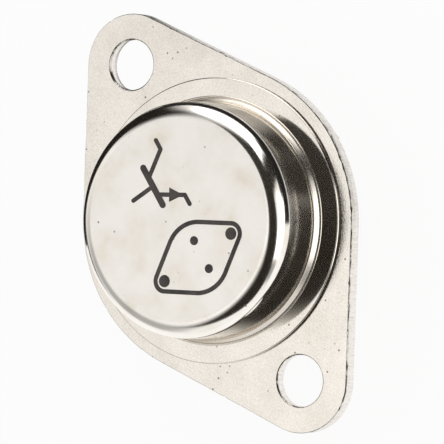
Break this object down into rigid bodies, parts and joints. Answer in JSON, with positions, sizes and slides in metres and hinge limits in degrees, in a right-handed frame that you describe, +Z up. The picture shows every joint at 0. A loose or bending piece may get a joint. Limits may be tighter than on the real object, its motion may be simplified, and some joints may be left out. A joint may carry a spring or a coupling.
{
  "type": "power transistor",
  "caption": "Metal-can power transistor: a round drawn cap welded on an oval steel flange, with mounting holes at its ends and stiff leads below.",
  "frame": {"origin": "centre of the flange's underside, on the cap's axis", "axes": "+Z up the cap's axis, +X through both mounting holes, towards the side on which the row of leads lies"},
  "size_m": [0.0386, 0.0252, 0.0189],
  "materials": {
    "flange_nickel": "dull nickel plate on steel, satin",
    "cap_nickel": "nickel plate on steel, matte on top and bright on the side",
    "lead_solder": "solder dip over nickel plate, semi-bright",
    "seal_glass": "dark green sealing glass, glossy",
    "braze": "bright",
    "copper": "copper, satin",
    "solder": "dull solder",
    "silicon": "polished silicon",
    "bond_aluminium": "bright",
    "ink": "matte ink"
  },
  "bodies": {
    "root": {"header_plate": "flange_nickel", "cap": "cap_nickel", "base_lead": "lead_solder", "emitter_lead": "lead_solder", "base_seal": "seal_glass", "emitter_seal": "seal_glass", "spreader_braze": "braze", "heat_spreader": "copper", "chip_solder": "solder", "chip": "silicon", "emitter_pad": "bond_aluminium", "base_pad": "bond_aluminium", "emitter_wire_1": "bond_aluminium", "emitter_wire_2": "bond_aluminium", "base_wire": "bond_aluminium", "ink_marks": "ink"}
  },
  "joints": []
}
